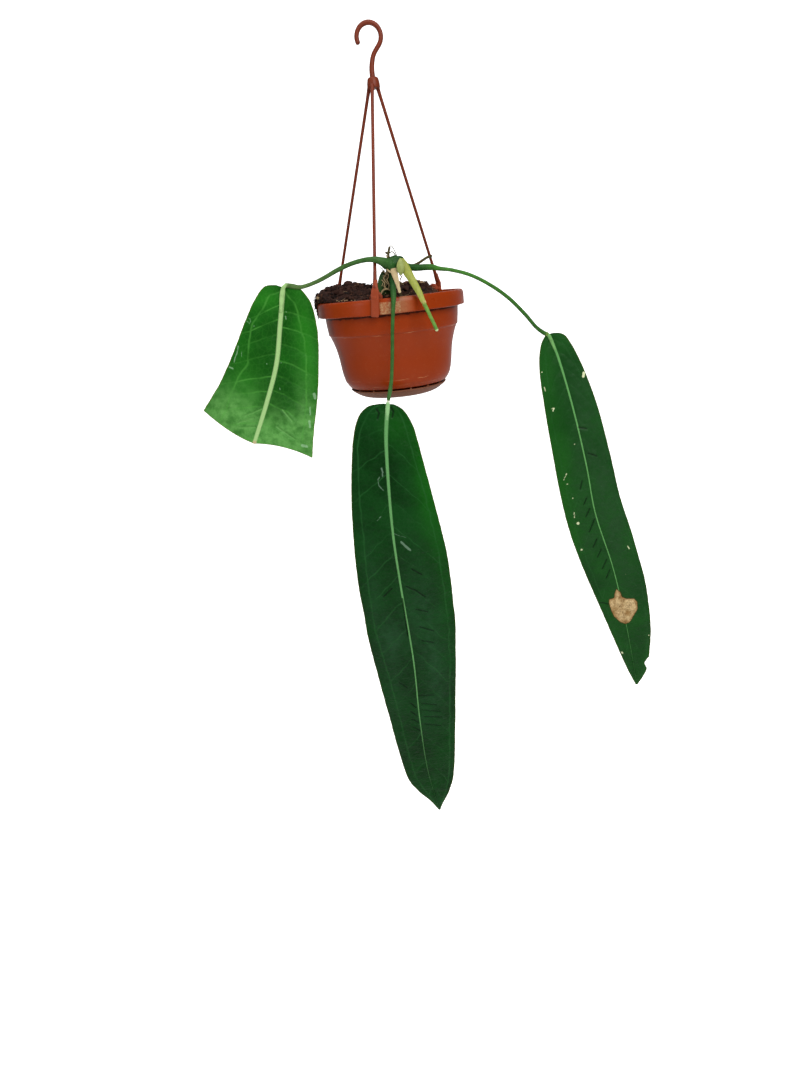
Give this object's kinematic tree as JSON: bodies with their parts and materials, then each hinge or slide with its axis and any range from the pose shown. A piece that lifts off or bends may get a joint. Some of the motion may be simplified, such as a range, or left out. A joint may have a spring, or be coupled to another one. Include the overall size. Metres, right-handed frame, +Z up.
{
  "type": "potted hanging anthurium",
  "caption": "Long-leaved anthurium in a terracotta-coloured plastic hanging pot with a clip-on drip tray and a rod hanger with a hook.",
  "frame": {"origin": "the point at the inner top of the hook where it bears on what holds it up", "axes": "+Z up along the hang direction, -Y towards the front of the plant, +X to the right as seen from the front"},
  "size_m": [0.4629, 0.168, 0.8324],
  "materials": {
    "pot": "injection moulded polypropylene, satin terracotta brown",
    "drip_tray": "injection moulded polypropylene, dusty satin brown",
    "hanger": "injection moulded polypropylene, dark terracotta brown",
    "hanger_clip": "injection moulded polypropylene, terracotta brown",
    "potting_mix": "coarse fibrous coir mix, very rough",
    "stem": "mossy brown stem with fibrous old leaf bases",
    "petiole": "smooth waxy green leaf stalk",
    "blade_light": "satin mid-green leaf with a pale midrib",
    "blade_dark": "satin dark green leathery leaf with a pale midrib",
    "sheath": "smooth yellow-green leaf sheath",
    "cut_petiole": "smooth green cut leaf stalk",
    "dry_sheath": "dry papery tan leaf sheath",
    "dry_stub": "dry dark brown stub",
    "aerial_root": "brown corky aerial root"
  },
  "bodies": {
    "root": {"pot": "pot", "drip_tray": "drip_tray", "hanger_hook": "hanger", "hanger_rod_front": "hanger", "hanger_rod_back_left": "hanger", "hanger_rod_back_right": "hanger", "hanger_clip_front": "hanger_clip", "hanger_clip_back_left": "hanger_clip", "hanger_clip_back_right": "hanger_clip", "potting_mix": "potting_mix", "stem": "stem", "petiole_left": "petiole", "petiole_centre": "petiole", "petiole_right": "petiole", "blade_left": "blade_light", "blade_centre": "blade_dark", "blade_right": "blade_dark", "cut_sheath": "sheath", "cut_petiole": "cut_petiole", "dry_sheath": "dry_sheath", "dry_stub": "dry_stub", "aerial_root": "aerial_root"}
  },
  "joints": []
}
